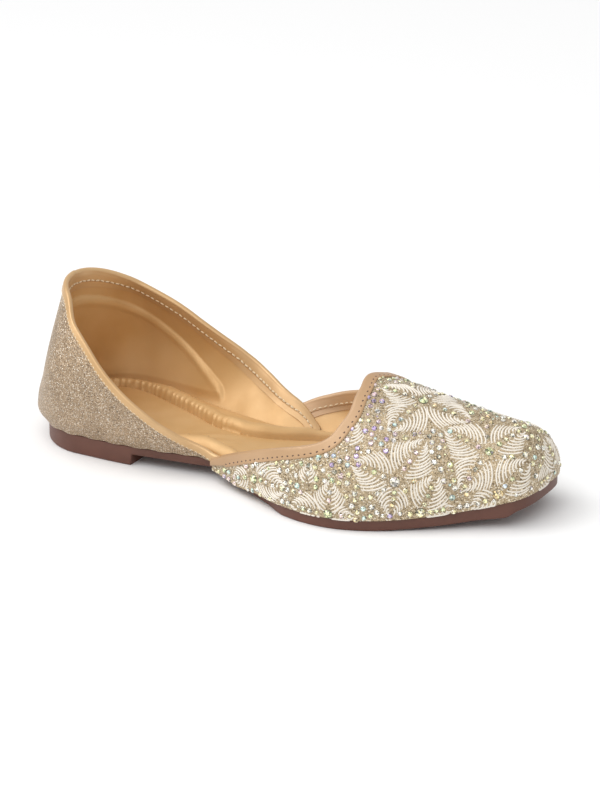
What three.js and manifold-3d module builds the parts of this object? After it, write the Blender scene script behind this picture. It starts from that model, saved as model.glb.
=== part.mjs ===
// A flat mojari shoe for the right foot, empty and standing on its sole.
// Millimetres, +Z up, toe towards +X, lateral side towards -Y.
import * as THREE from "three";
import { mergeVertices } from "three/addons/utils/BufferGeometryUtils.js";
import Module from "manifold-3d";

const wasm = await Module();
wasm.setup();

// Sole
const LENGTH = 238;
const HEEL_WIDTH = 62;
const WAIST_WIDTH = 48;
const BALL_WIDTH = 84;
const TOE_WIDTH = 38;
const HEEL_LIFT = 5.1;
const HEEL_BLOCK_LENGTH = 56;
const BREAST_SLOPE = 0.9;
const TOE_SPRING = 9.5;
const SOLE_AT_HEEL = 3.7;
const SOLE_AT_BALL = 4.8;
const SOLE_EDGE_ROUND = 0.9;
const SOLE_THICKENS = { from: 0.3, to: 0.65 };

// Upper
const BACK_HEIGHT = 63.5;
const INSTEP_HEIGHT = 49.5;
const COUNTER_SWELL = 8;
const ARCH_FLARE = 13;
const ARCH_FLARE_HEIGHT = 10;
const ARCH_FLARE_POWER = 1.3;
const VAMP_OVERHANG = 1.2;
const BELLY_HEIGHT = 7;
const BELLY_SPREAD = 9;
const WALL = 2;
const OVERLAP = 0.5;
const TUCK_HEIGHT = 2.8;
const WAIST_INSET = 2.6;
const SKIRT_DROP = 2.8;

// Trim and padding
const VAMP_BINDING_WIDTH = 5.2;
const COLLAR_BINDING_WIDTH = 3;
const BINDING_THICKNESS = 0.9;
const INSOLE_THICKNESS = 3.4;
const INSOLE_CROWN = 1.2;
const INSOLE_RIM_WIDTH = 4;
const INSOLE_RIM_HEIGHT = 0.6;
const INSOLE_ARCH_INSET = 9;
const HEEL_PAD_THICKNESS = 2.2;
const HEEL_PAD_EDGE = 0.8;
const HEEL_PAD_DROP = 13;
const BINDING_SHOULDER = { out: 0.6, up: 0.8 };
const CLEARANCE = 0.3;
const BINDING_SEAT = 0.4;
const PAD_SEAT = 0.7;

// Half breadths of the sole, as shares of half the width named in each row, at shares of the length
const OUTLINE = [
  { at: 0.0, lateral: 1.0, medial: 0.95, of: HEEL_WIDTH },
  { at: 0.12, lateral: 1.03, medial: 0.97, of: HEEL_WIDTH },
  { at: 0.235, lateral: 1.03, medial: 0.87, of: HEEL_WIDTH },
  { at: 0.31, lateral: 1.25, medial: 0.93, of: WAIST_WIDTH },
  { at: 0.385, lateral: 1.2, medial: 0.8, of: WAIST_WIDTH },
  { at: 0.45, lateral: 1.42, medial: 0.83, of: WAIST_WIDTH },
  { at: 0.515, lateral: 0.965, medial: 0.58, of: BALL_WIDTH },
  { at: 0.575, lateral: 1.11, medial: 0.7, of: BALL_WIDTH },
  { at: 0.64, lateral: 1.2, medial: 0.785, of: BALL_WIDTH },
  { at: 0.7, lateral: 1.19, medial: 0.81, of: BALL_WIDTH },
  { at: 0.765, lateral: 1.06, medial: 0.8, of: BALL_WIDTH },
  { at: 0.83, lateral: 0.845, medial: 0.765, of: BALL_WIDTH },
  { at: 0.9, lateral: 1.29, medial: 1.56, of: TOE_WIDTH },
  { at: 0.95, lateral: 0.9, medial: 1.43, of: TOE_WIDTH },
  { at: 1.0, lateral: 0.6, medial: 1.4, of: TOE_WIDTH },
];
const HEEL_ROUND = 0.118;
const HEEL_TURN = 0.15;
const TOE_TURN = 0.85;
const TOE_START = 0.95;
const TOE_SQUARE = 3.6;
const TOE_CORNER = 3;

// Underside of the sole, at shares of the length
const ARCH_START = 0.36;
const ARCH_END = 0.57;
const SPRING_START = 0.74;

// Stretches of the length over which a feature comes in and goes out again
const FLARE_SPAN = { from: 0.22, full: 0.39, fading: 0.52, to: 0.66 };
const WAIST_SPAN = { from: 0.36, full: 0.4, fading: 0.54, to: 0.6 };
const SOCK_INSET_SPAN = { from: 0.16, full: 0.34, fading: 0.47, to: 0.56 };
const SKIRT_FADES = { from: 0.47, to: 0.54 };
const LINING_CHANGES = { from: 0.54, to: 0.58 };

// Height of the vamp's ridge above the sole, as shares of the instep height
const RIDGE = [
  { at: 0.4, rise: 1.05 },
  { at: 0.55, rise: 1.04 },
  { at: 0.66, rise: 1.0 },
  { at: 0.75, rise: 0.905 },
  { at: 0.84, rise: 0.76 },
  { at: 0.9, rise: 0.64 },
  { at: 0.95, rise: 0.55 },
  { at: 1.0, rise: 0.48 },
];
const TOE_CAP_START = 0.94;
const TOE_CAP_POWER = 3;
const SECTION_POWER = 1.6;
const SECTION_ROUND = 0.41;

// Topline of the vamp from wing tip to throat: share of the length, and share of the ridge height there
const TOPLINE = [
  { along: 0.0, at: 0.41, rise: 0.025 },
  { along: 0.1, at: 0.471, rise: 0.2 },
  { along: 0.22, at: 0.55, rise: 0.39 },
  { along: 0.36, at: 0.655, rise: 0.57 },
  { along: 0.54, at: 0.69, rise: 0.78 },
  { along: 0.76, at: 0.687, rise: 0.94 },
  { along: 1.0, at: 0.678, rise: 1.0 },
];

// Collar height of the quarter above the sole, as shares of the back height
const COLLAR = [
  { at: 0.0, lateral: 1.0, medial: 1.0 },
  { at: 0.07, lateral: 0.915, medial: 0.93 },
  { at: 0.15, lateral: 0.7, medial: 0.75 },
  { at: 0.24, lateral: 0.425, medial: 0.5 },
  { at: 0.33, lateral: 0.165, medial: 0.29 },
  { at: 0.385, lateral: 0.075, medial: 0.205 },
  { at: 0.43, lateral: 0.0, medial: 0.14 },
  { at: 0.48, lateral: 0.0, medial: 0.07 },
  { at: 0.52, lateral: 0.0, medial: 0.0 },
];
const QUARTER_END = 0.52;
const TUCK_START = 0.35;
const TUCK_FULL = 0.42;

// How far the quarter stands out from the sole, as shares of the counter swell, by share of back height
const SWELL = [
  { up: 0.0, back: 0.2, side: 0.05 },
  { up: 0.07, back: 0.58, side: 0.4 },
  { up: 0.15, back: 0.55, side: 0.66 },
  { up: 0.36, back: 0.07, side: 1.03 },
  { up: 0.69, back: -0.52, side: 0.25 },
  { up: 1.0, back: -1.1, side: -1.5 },
];
const BACK_SPAN = 0.07;

// Section of the sole's side: how far in, and how far over the ground face or under the top face, in edge rounds
const SOLE_SIDE = [
  { inward: 1, over: 0 },
  { inward: 0.3, over: 0.4 },
  { inward: 0, over: 1.3 },
  { inward: 0, under: 0.5 },
  { inward: 0.5, under: 0 },
];

const HEEL_PAD_END = 0.31;
const COLLAR_BINDING_END = 0.385;

// Steps of the meshes
const OUTLINE_STEPS = 44;
const ACROSS_STEPS = 8;
const VAMP_RIBS = 30;
const VAMP_LEVELS = 12;
const QUARTER_RIBS = 26;
const QUARTER_LEVELS = 9;
const PAD_LEVELS = 8;
const BINDING_STEPS = 3;
const BINDING_TIP = { from: 2, to: 6 };
const FINE = 160;
const SEARCH_STEPS = 40;
const DEPTH_STEPS = 40;
const EDGE_STEP = 0.002;
const RIB_STEP = 0.5;
const LEVEL_STEP = 0.02;
const WELD = 1e-4;
const HAIR = 1e-5;

const clamp = THREE.MathUtils.clamp;
const lerp = THREE.MathUtils.lerp;
const ease = THREE.MathUtils.smoothstep;
const rises = (share, { from, to }) => ease(share, from, to);
const within = (share, span) => ease(share, span.from, span.full) * (1 - ease(share, span.fading, span.to));

// Smooth curve through the named column of a table, read at x
function through(table, key, column, x) {
  const xs = table.map((row) => row[key]);
  const ys = table.map((row) => (column instanceof Function ? column(row) : row[column]));
  const last = xs.length - 1;
  const at = clamp(x, xs[0], xs[last]);
  const i = clamp(xs.findIndex((value) => value > at) - 1, -1, last - 1);
  const k = i < 0 ? last - 1 : i;
  const slope = (n) => (ys[n + 1] - ys[n]) / (xs[n + 1] - xs[n]);
  const tangent = (n) => {
    if (n === 0) return slope(0);
    if (n === last) return slope(last - 1);
    const before = xs[n] - xs[n - 1];
    const after = xs[n + 1] - xs[n];
    return (slope(n - 1) * after + slope(n) * before) / (before + after);
  };
  const h = xs[k + 1] - xs[k];
  const t = (at - xs[k]) / h;
  return (
    (2 * t ** 3 - 3 * t ** 2 + 1) * ys[k] +
    (t ** 3 - 2 * t ** 2 + t) * h * tangent(k) +
    (3 * t ** 2 - 2 * t ** 3) * ys[k + 1] +
    (t ** 3 - t ** 2) * h * tangent(k + 1)
  );
}

// Breadth from the long axis to one side before the ends are rounded; side is -1 lateral or 1 medial
function breadth(share, side) {
  const column = side < 0 ? "lateral" : "medial";
  return through(OUTLINE, "at", (row) => (row[column] * row.of) / 2, share);
}

const middle = (share) => (breadth(share, 1) - breadth(share, -1)) / 2;
const halfWidth = (share) => (breadth(share, 1) + breadth(share, -1)) / 2;

// Share of the half width that is left where the toe closes
function toeClosing(share) {
  const t = clamp((share - TOE_START) / (1 - TOE_START), 0, 1);
  return (1 - t ** TOE_SQUARE) ** (1 / TOE_CORNER);
}

// Place on the sole's edge; u runs from the back of the heel at 0 to the middle of the toe at 1
function edgeShare(u) {
  if (u < HEEL_TURN) {
    const turn = (u / HEEL_TURN) * (Math.PI / 2);
    return { share: HEEL_ROUND * (1 - Math.cos(turn)), open: Math.sin(turn) };
  }
  if (u <= TOE_TURN) {
    const along = (u - HEEL_TURN) / (TOE_TURN - HEEL_TURN);
    return { share: lerp(HEEL_ROUND, TOE_START, along), open: 1 };
  }
  const turn = (Math.min((u - TOE_TURN) / (1 - TOE_TURN), 1) * Math.PI) / 2;
  const reach = Math.sin(turn) ** (2 / TOE_SQUARE);
  return { share: lerp(TOE_START, 1, reach), open: Math.max(Math.cos(turn), 0) ** (2 / TOE_CORNER) };
}

function edge(u, side) {
  const { share, open } = edgeShare(u);
  return new THREE.Vector2(share * LENGTH, middle(share) + side * halfWidth(share) * open);
}

function edgeNormal(u, side) {
  if (u <= 0) return new THREE.Vector2(-1, 0);
  if (u >= 1) return new THREE.Vector2(1, 0);
  const along = edge(Math.min(u + EDGE_STEP, 1), side).sub(edge(Math.max(u - EDGE_STEP, 0), side));
  return new THREE.Vector2(-along.y, along.x).multiplyScalar(side).normalize();
}

function edgeOffset(u, side, out) {
  return edge(u, side).addScaledVector(edgeNormal(u, side), out);
}

// Place on the edge at a share of the length
function edgeAtShare(share) {
  let low = 0;
  let high = 1;
  for (let i = 0; i < SEARCH_STEPS; i++) {
    const u = (low + high) / 2;
    if (edgeShare(u).share < share) low = u;
    else high = u;
  }
  return (low + high) / 2;
}

// Underside of the sole plate, without the heel block
function plateUnder(share) {
  const arch = HEEL_LIFT * (1 - ease(share, ARCH_START, ARCH_END));
  const spring = TOE_SPRING * clamp((share - SPRING_START) / (1 - SPRING_START), 0, 1) ** 2;
  return arch + spring;
}

const BLOCK_END = HEEL_BLOCK_LENGTH / LENGTH;
const WAIST_START = (HEEL_BLOCK_LENGTH + BREAST_SLOPE) / LENGTH;
const soleUnder = (share) => (share <= BLOCK_END + HAIR ? 0 : plateUnder(share));
const soleTop = (share) => plateUnder(share) + lerp(SOLE_AT_HEEL, SOLE_AT_BALL, rises(share, SOLE_THICKENS));

// The upper leans out over the hollow of the arch on the medial side
function archFlare(share, side, height) {
  if (side < 0) return 0;
  const up = 1 - Math.exp(-((height / ARCH_FLARE_HEIGHT) ** ARCH_FLARE_POWER));
  return ARCH_FLARE * within(share, FLARE_SPAN) * up;
}

// From waist to ball the sole is narrower than the upper, whose wings hang over its side
const waistInset = (share) => WAIST_INSET * within(share, WAIST_SPAN);
const skirtDrop = (share) => SKIRT_DROP * (1 - rises(share, SKIRT_FADES));

// Standing out of the quarter from the sole's edge at a height above the sole
function quarterOffset(share, side, height) {
  const up = height / BACK_HEIGHT;
  const back = Math.exp(-((share / BACK_SPAN) ** 2));
  const swell = lerp(through(SWELL, "up", "side", up), through(SWELL, "up", "back", up), back);
  const tucked = VAMP_OVERHANG / 2 - WALL + OVERLAP;
  const plain = lerp(swell * COUNTER_SWELL, tucked, ease(share, TUCK_START, TUCK_FULL));
  return plain + archFlare(share, side, height);
}

function collarHeight(share, side) {
  const column = side < 0 ? "lateral" : "medial";
  return Math.max(through(COLLAR, "at", column, share) * BACK_HEIGHT, TUCK_HEIGHT);
}

function quarterPoint(u, side, height) {
  const { share } = edgeShare(u);
  const place = edgeOffset(u, side, quarterOffset(share, side, height));
  return new THREE.Vector3(place.x, place.y, soleTop(share) + CLEARANCE + height);
}

// The vamp's skin over the plan, between the sole's edge and its ridge
function vampHeight(x, y) {
  const share = clamp(x / LENGTH, 0, 1 - HAIR);
  const cap = clamp((share - TOE_CAP_START) / (1 - TOE_CAP_START), 0, 1);
  const ridge = through(RIDGE, "at", "rise", share) * INSTEP_HEIGHT * Math.sqrt(1 - cap ** TOE_CAP_POWER);
  const across = Math.min(Math.abs(y - middle(share)) / (halfWidth(share) * toeClosing(share)), 1);
  const height = ridge * Math.max(1 - across ** SECTION_POWER, 0) ** SECTION_ROUND;
  return { share, across, height };
}

function toplinePlan(along, side) {
  const share = through(TOPLINE, "along", "at", along);
  const rise = clamp(through(TOPLINE, "along", "rise", along), 0, 1);
  const across = (1 - rise ** (1 / SECTION_ROUND)) ** (1 / SECTION_POWER);
  return new THREE.Vector2(share * LENGTH, middle(share) + side * across * halfWidth(share));
}

// Parameters that step evenly in length along a plan curve
function evenly(curve, from, to, count) {
  const params = Array.from({ length: FINE + 1 }, (_, i) => lerp(from, to, i / FINE));
  const points = params.map(curve);
  const lengths = [0];
  for (let i = 1; i <= FINE; i++) lengths.push(lengths[i - 1] + points[i].distanceTo(points[i - 1]));
  return Array.from({ length: count + 1 }, (_, n) => {
    const target = (lengths[FINE] * n) / count;
    const i = clamp(lengths.findIndex((value) => value >= target), 1, FINE);
    const t = (target - lengths[i - 1]) / (lengths[i] - lengths[i - 1]);
    return lerp(params[i - 1], params[i], t);
  });
}

const WING_TIP = edgeAtShare(TOPLINE[0].at);
const vampEdge = {};
const vampTop = {};
for (const side of [-1, 1]) {
  vampEdge[side] = evenly((u) => edge(u, side), WING_TIP, 1, VAMP_RIBS);
  vampTop[side] = evenly((along) => toplinePlan(along, side), 0, 1, VAMP_RIBS);
}

function readAlong(list, position) {
  const i = clamp(Math.floor(position), 0, list.length - 2);
  return lerp(list[i], list[i + 1], position - i);
}

// Point of the vamp's outside; rib 0 is the wing tip and VAMP_RIBS the middle, level 0 the sole and 1 the topline
function vampPoint(rib, side, level) {
  const u = readAlong(vampEdge[side], rib);
  const foot = edge(u, side);
  const top = toplinePlan(readAlong(vampTop[side], rib), side);
  const plan = foot.clone().lerp(top, level ** 2);
  const { share, across, height } = vampHeight(plan.x, plan.y);
  const belly = VAMP_OVERHANG * (1 + Math.exp(-(((height - BELLY_HEIGHT) / BELLY_SPREAD) ** 2))) / 2;
  plan.addScaledVector(edgeNormal(u, side), belly + archFlare(share, side, height) * across);
  const rest = soleTop(foot.x / LENGTH) - skirtDrop(foot.x / LENGTH);
  const floor = lerp(soleTop(share), rest, (1 - level) ** 2);
  return new THREE.Vector3(plan.x, plan.y, floor + CLEARANCE + height);
}

// Normal of a skin given as point(rib, level), with ribs from 0 to ribs and levels from 0 to 1
function skinNormal(point, rib, level, ribs) {
  const ahead = point(Math.min(rib + RIB_STEP, ribs), level);
  const behind = point(Math.max(rib - RIB_STEP, 0), level);
  const above = point(rib, Math.min(level + LEVEL_STEP, 1));
  const below = point(rib, Math.max(level - LEVEL_STEP, 0));
  return ahead.sub(behind).cross(above.sub(below)).normalize();
}

// A closed solid from sections; each section is two facing paths of equal length, joined at both ends
function loft(sections) {
  const loops = sections.map(({ front, back }) => [...front, ...[...back].reverse()]);
  const size = loops[0].length;
  const positions = loops.flat().flatMap((p) => p.toArray());
  const faces = [];
  const quad = (a, b, c, d) => faces.push([a, b, c], [a, c, d]);
  for (let i = 0; i + 1 < loops.length; i++) {
    for (let j = 0; j < size; j++) {
      const next = (j + 1) % size;
      quad(i * size + j, i * size + next, (i + 1) * size + next, (i + 1) * size + j);
    }
  }
  const end = (loops.length - 1) * size;
  for (let j = 0; j + 1 < size / 2; j++) {
    quad(j + 1, j, size - 1 - j, size - 2 - j);
    quad(end + j, end + j + 1, end + size - 2 - j, end + size - 1 - j);
  }
  return closed(positions, faces.flat());
}

// Merges equal points, drops the triangles that this collapses and turns the faces outward
function closed(positions, index) {
  let geometry = new THREE.BufferGeometry();
  geometry.setAttribute("position", new THREE.Float32BufferAttribute(positions, 3));
  geometry.setIndex(index);
  geometry = mergeVertices(geometry, WELD);
  const merged = [...geometry.index.array];
  const kept = [];
  for (let i = 0; i < merged.length; i += 3) {
    const [a, b, c] = merged.slice(i, i + 3);
    if (a !== b && b !== c && c !== a) kept.push(a, b, c);
  }
  if (signedVolume(geometry.attributes.position, kept) < 0) kept.reverse();
  geometry.setIndex(kept);
  return geometry;
}

function signedVolume(position, index) {
  const [a, b, c] = [new THREE.Vector3(), new THREE.Vector3(), new THREE.Vector3()];
  let volume = 0;
  for (let i = 0; i < index.length; i += 3) {
    a.fromBufferAttribute(position, index[i]);
    b.fromBufferAttribute(position, index[i + 1]);
    c.fromBufferAttribute(position, index[i + 2]);
    volume += a.dot(b.cross(c)) / 6;
  }
  return volume;
}

function toManifold(geometry) {
  return new wasm.Manifold(new wasm.Mesh({
    numProp: 3,
    vertProperties: new Float32Array(geometry.attributes.position.array),
    triVerts: new Uint32Array(geometry.index.array),
  }));
}

function fromManifold(solid) {
  const mesh = solid.getMesh();
  const geometry = new THREE.BufferGeometry();
  geometry.setAttribute("position", new THREE.BufferAttribute(mesh.vertProperties, 3));
  geometry.setIndex([...mesh.triVerts]);
  return geometry;
}

// Steps along the sole from heel to toe, with both edges of the heel breast among them
function soleSteps() {
  const even = Array.from({ length: OUTLINE_STEPS + 1 }, (_, i) => i / OUTLINE_STEPS);
  const breast = [BLOCK_END, WAIST_START].map(edgeAtShare);
  const clear = even.filter((u) => breast.every((other) => Math.abs(u - other) > 0.4 / OUTLINE_STEPS));
  return [...clear, ...breast].sort((a, b) => a - b);
}

// One moulded unit: plate, arch, toe spring and low heel block with its breast
function outsoleGeometry() {
  const sections = soleSteps().map((u) => {
    const { share } = edgeShare(u);
    const low = soleUnder(share);
    const high = soleTop(share);
    const wall = (side) => SOLE_SIDE.map(({ inward, over, under }) => {
      const place = edgeOffset(u, side, -inward * SOLE_EDGE_ROUND - waistInset(share));
      const z = under === undefined ? low + over * SOLE_EDGE_ROUND : high - under * SOLE_EDGE_ROUND;
      return new THREE.Vector3(place.x, place.y, z);
    });
    return { front: wall(-1), back: wall(1) };
  });
  return loft(sections);
}

// Inner face of the upper just above the sole
function liningOffset(share, side) {
  const quarter = quarterOffset(share, side, 0) - WALL;
  return lerp(quarter, VAMP_OVERHANG / 2 - WALL, rises(share, LINING_CHANGES));
}

// Padded sock with a raised seam along its edge and a crowned middle
function insoleGeometry() {
  const sections = soleSteps().map((u) => {
    const { share } = edgeShare(u);
    const floor = soleTop(share) + CLEARANCE;
    const near = edgeOffset(u, -1, liningOffset(share, -1) - 2 * CLEARANCE);
    const archInset = INSOLE_ARCH_INSET * within(share, SOCK_INSET_SPAN);
    const far = edgeOffset(u, 1, liningOffset(share, 1) - 2 * CLEARANCE - archInset);
    const width = near.distanceTo(far);
    const front = [];
    const back = [];
    for (let j = 0; j <= ACROSS_STEPS; j++) {
      const across = j / ACROSS_STEPS;
      const place = near.clone().lerp(far, across);
      const fromEdge = width * Math.min(across, 1 - across);
      const inside = 1 - Math.exp(-((fromEdge / (INSOLE_RIM_WIDTH / 2)) ** 2));
      const crown = INSOLE_CROWN * Math.sin(Math.PI * across) * inside;
      const top = INSOLE_THICKNESS * lerp(INSOLE_RIM_HEIGHT, 1, inside) + crown;
      front.push(new THREE.Vector3(place.x, place.y, floor));
      back.push(new THREE.Vector3(place.x, place.y, floor + top));
    }
    return { front, back };
  });
  return loft(sections);
}

// Both sides of a skin from tip to tip; ribs count up to the middle and down again
function ribsAcross(count) {
  const out = [];
  for (let rib = 0; rib <= count; rib++) out.push({ rib, side: -1 });
  for (let rib = count - 1; rib >= 0; rib--) out.push({ rib, side: 1 });
  return out;
}

function vampNormal(rib, side, level) {
  const normal = skinNormal((a, b) => vampPoint(a, side, b), rib, level, VAMP_RIBS).multiplyScalar(-side);
  if (rib === VAMP_RIBS) normal.y = 0;
  return normal.normalize();
}

function vampGeometry() {
  const sections = ribsAcross(VAMP_RIBS).map(({ rib, side }) => {
    const front = [];
    const back = [];
    for (let j = 0; j <= VAMP_LEVELS; j++) {
      const level = j / VAMP_LEVELS;
      const outside = vampPoint(rib, side, level);
      const normal = vampNormal(rib, side, level);
      if (j === 0) normal.z = 0;
      front.push(outside);
      back.push(outside.clone().addScaledVector(normal.normalize(), -WALL));
    }
    return { front, back };
  });
  return loft(sections);
}

const QUARTER_TIP = edgeAtShare(QUARTER_END);
const quarterU = (rib) => QUARTER_TIP * (1 - rib / QUARTER_RIBS);

function quarterAt(rib, side, level) {
  const u = quarterU(rib);
  return quarterPoint(u, side, level * collarHeight(edgeShare(u).share, side));
}

function quarterNormal(rib, side, level) {
  const normal = skinNormal((a, b) => quarterAt(a, side, b), rib, level, QUARTER_RIBS).multiplyScalar(side);
  if (rib === QUARTER_RIBS) normal.y = 0;
  return normal.normalize();
}

function quarterSide(rib, side, level, inward) {
  const normal = quarterNormal(rib, side, level);
  if (level === 0) normal.z = 0;
  return quarterAt(rib, side, level).addScaledVector(normal.normalize(), -inward);
}

function quarterGeometry() {
  const sections = ribsAcross(QUARTER_RIBS).map(({ rib, side }) => {
    const levels = Array.from({ length: QUARTER_LEVELS + 1 }, (_, j) => j / QUARTER_LEVELS);
    return {
      front: levels.map((level) => quarterSide(rib, side, level, 0)),
      back: levels.map((level) => quarterSide(rib, side, level, WALL)),
    };
  });
  return loft(sections);
}

function upperGeometry() {
  return fromManifold(toManifold(vampGeometry()).add(toManifold(quarterGeometry())));
}

// Binding strip laid over a skin's edge: down the outside by its width, and over the top of the wall
function bindingSection(point, normal, width, cover) {
  const top = point(0);
  const up = top.clone().sub(point(1)).normalize();
  const out = normal(0);
  const outer = BINDING_SEAT + BINDING_THICKNESS;
  const front = [];
  const back = [];
  for (let j = 0; j <= BINDING_STEPS; j++) {
    const depth = width * (1 - j / BINDING_STEPS);
    front.push(point(depth).addScaledVector(normal(depth), outer));
    back.push(point(depth).addScaledVector(normal(depth), BINDING_SEAT));
  }
  const place = (n, e) => top.clone().addScaledVector(out, n).addScaledVector(up, e);
  front.push(place(outer * BINDING_SHOULDER.out, outer * BINDING_SHOULDER.up));
  back.push(place(BINDING_SEAT, BINDING_SEAT));
  front.push(place(-cover, outer));
  back.push(place(-cover, BINDING_SEAT));
  return { front, back };
}

// Level of a rib at a depth in millimetres below its top
function levelAtDepth(point, depth) {
  let travelled = 0;
  let previous = point(1);
  for (let j = 1; j <= DEPTH_STEPS; j++) {
    const level = 1 - j / DEPTH_STEPS;
    const current = point(level);
    const step = current.distanceTo(previous);
    if (travelled + step >= depth) return level + (1 - (depth - travelled) / step) / DEPTH_STEPS;
    travelled += step;
    previous = current;
  }
  return 0;
}

function ribLength(point) {
  let total = 0;
  for (let j = 0; j < DEPTH_STEPS; j++) {
    total += point(j / DEPTH_STEPS).distanceTo(point((j + 1) / DEPTH_STEPS));
  }
  return total;
}

function vampBindingGeometry() {
  const sections = ribsAcross(VAMP_RIBS).map(({ rib, side }) => {
    const at = (level) => vampPoint(rib, side, level);
    const width = Math.min(VAMP_BINDING_WIDTH, ribLength(at) - CLEARANCE);
    const cover = lerp(-CLEARANCE, WALL, rises(rib, BINDING_TIP));
    const point = (depth) => at(levelAtDepth(at, depth));
    const normal = (depth) => vampNormal(rib, side, levelAtDepth(at, depth));
    return bindingSection(point, normal, width, cover);
  });
  return loft(sections);
}

function collarBindingGeometry() {
  const end = QUARTER_RIBS * (1 - edgeAtShare(COLLAR_BINDING_END) / QUARTER_TIP);
  const ribs = ribsAcross(QUARTER_RIBS).filter(({ rib }) => rib >= end);
  const sections = ribs.map(({ rib, side }) => {
    const at = (level) => quarterAt(rib, side, level);
    const point = (depth) => at(levelAtDepth(at, depth));
    const normal = (depth) => quarterNormal(rib, side, levelAtDepth(at, depth));
    return bindingSection(point, normal, COLLAR_BINDING_WIDTH, WALL);
  });
  return loft(sections);
}

// Padding behind the lining: its top runs a set drop below the collar, its ends come down to the insole
function heelPadGeometry() {
  const base = INSOLE_THICKNESS + INSOLE_CROWN + 2 * PAD_SEAT;
  const endRib = QUARTER_RIBS * (1 - edgeAtShare(HEEL_PAD_END) / QUARTER_TIP);
  const ribs = ribsAcross(QUARTER_RIBS).filter(({ rib }) => rib >= endRib);
  const sections = ribs.map(({ rib, side }) => {
    const { share } = edgeShare(quarterU(rib));
    const collar = collarHeight(share, side);
    const reach = Math.sqrt(Math.max(1 - (share / HEEL_PAD_END) ** 4, 0));
    const bottom = base / collar;
    const top = lerp(base + HEEL_PAD_EDGE, collar - HEEL_PAD_DROP, reach) / collar;
    const front = [];
    const back = [];
    for (let j = 0; j <= PAD_LEVELS; j++) {
      const level = lerp(bottom, top, j / PAD_LEVELS);
      const swell = Math.sqrt(Math.sin((Math.PI * j) / PAD_LEVELS));
      const thick = lerp(HEEL_PAD_EDGE, HEEL_PAD_THICKNESS, swell);
      front.push(quarterSide(rib, side, level, WALL + PAD_SEAT));
      back.push(quarterSide(rib, side, level, WALL + PAD_SEAT + thick));
    }
    return { front, back };
  });
  return loft(sections);
}

const PIECES = [
  { name: "outsole", geometry: outsoleGeometry(), color: 0x7a4535, roughness: 0.62, metalness: 0 },
  { name: "insole", geometry: insoleGeometry(), color: 0xc79a58, roughness: 0.38, metalness: 0.25 },
  { name: "upper", geometry: upperGeometry(), color: 0xc4ac84, roughness: 0.55, metalness: 0.2 },
  { name: "vamp_binding", geometry: vampBindingGeometry(), color: 0xc99a5c, roughness: 0.4, metalness: 0.15 },
  { name: "collar_binding", geometry: collarBindingGeometry(), color: 0xc99a5c, roughness: 0.4, metalness: 0.15 },
  { name: "heel_pad", geometry: heelPadGeometry(), color: 0xb98746, roughness: 0.38, metalness: 0.25 },
];

const shoe = new THREE.Group();
for (const { name, geometry, color, roughness, metalness } of PIECES) {
  geometry.computeVertexNormals();
  const mesh = new THREE.Mesh(geometry, new THREE.MeshStandardMaterial({ color, roughness, metalness }));
  mesh.name = name;
  shoe.add(mesh);
}

// The origin is the middle of the shoe's box, on the floor
const box = new THREE.Box3().setFromObject(shoe);
const centre = box.getCenter(new THREE.Vector3());
shoe.position.set(-centre.x, -centre.y, -box.min.z);

export default shoe;
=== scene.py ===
import math
import bpy
import numpy as np
from mathutils import Matrix, Vector
from mathutils.bvhtree import BVHTree
from mathutils.kdtree import KDTree


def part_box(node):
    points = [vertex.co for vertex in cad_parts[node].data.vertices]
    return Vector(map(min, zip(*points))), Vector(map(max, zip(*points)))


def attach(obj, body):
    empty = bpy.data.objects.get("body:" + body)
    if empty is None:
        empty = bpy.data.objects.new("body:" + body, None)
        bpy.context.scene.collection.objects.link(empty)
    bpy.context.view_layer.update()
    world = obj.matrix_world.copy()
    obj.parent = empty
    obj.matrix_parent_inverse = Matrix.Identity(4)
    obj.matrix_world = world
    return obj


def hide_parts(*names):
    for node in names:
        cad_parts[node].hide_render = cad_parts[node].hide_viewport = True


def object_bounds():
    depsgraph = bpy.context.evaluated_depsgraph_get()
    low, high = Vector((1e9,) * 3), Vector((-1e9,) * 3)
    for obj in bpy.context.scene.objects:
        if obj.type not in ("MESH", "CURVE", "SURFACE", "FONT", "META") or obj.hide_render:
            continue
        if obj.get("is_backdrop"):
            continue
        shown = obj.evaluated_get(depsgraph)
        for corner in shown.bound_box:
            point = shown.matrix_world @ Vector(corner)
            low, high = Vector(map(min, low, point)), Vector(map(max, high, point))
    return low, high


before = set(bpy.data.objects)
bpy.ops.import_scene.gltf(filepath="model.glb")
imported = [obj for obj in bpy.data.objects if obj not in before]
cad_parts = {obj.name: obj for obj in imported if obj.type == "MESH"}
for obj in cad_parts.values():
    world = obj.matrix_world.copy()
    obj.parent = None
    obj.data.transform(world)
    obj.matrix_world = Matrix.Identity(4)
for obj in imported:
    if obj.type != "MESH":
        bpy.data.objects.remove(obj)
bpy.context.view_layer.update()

# Outsole: one moulded rubber unit with an arch, a toe spring and a low heel block.
# It is cemented under the lasted upper, and its plain satin side is left as it leaves the mould.
MM = 0.001
LENGTH = 238.0
HEEL_WIDTH, WAIST_WIDTH, BALL_WIDTH, TOE_WIDTH = 62.0, 48.0, 84.0, 38.0
HEEL_BLOCK_LENGTH, BREAST_SLOPE = 56.0, 0.9
HEEL_LIFT, TOE_SPRING = 5.1, 9.5
THIN_PLATE, THICK_PLATE = 3.7, 4.8
EDGE_ROUND = 0.9
# What the plate gains at the toe, what the toe's outer corner drops, and how far the walls draw in at the waist
TOE_THICKENING, CORNER_DROP, WAIST_INSET = 0.6, 1.5, 2.6
LATERAL, MEDIAL = -1, 1

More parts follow.
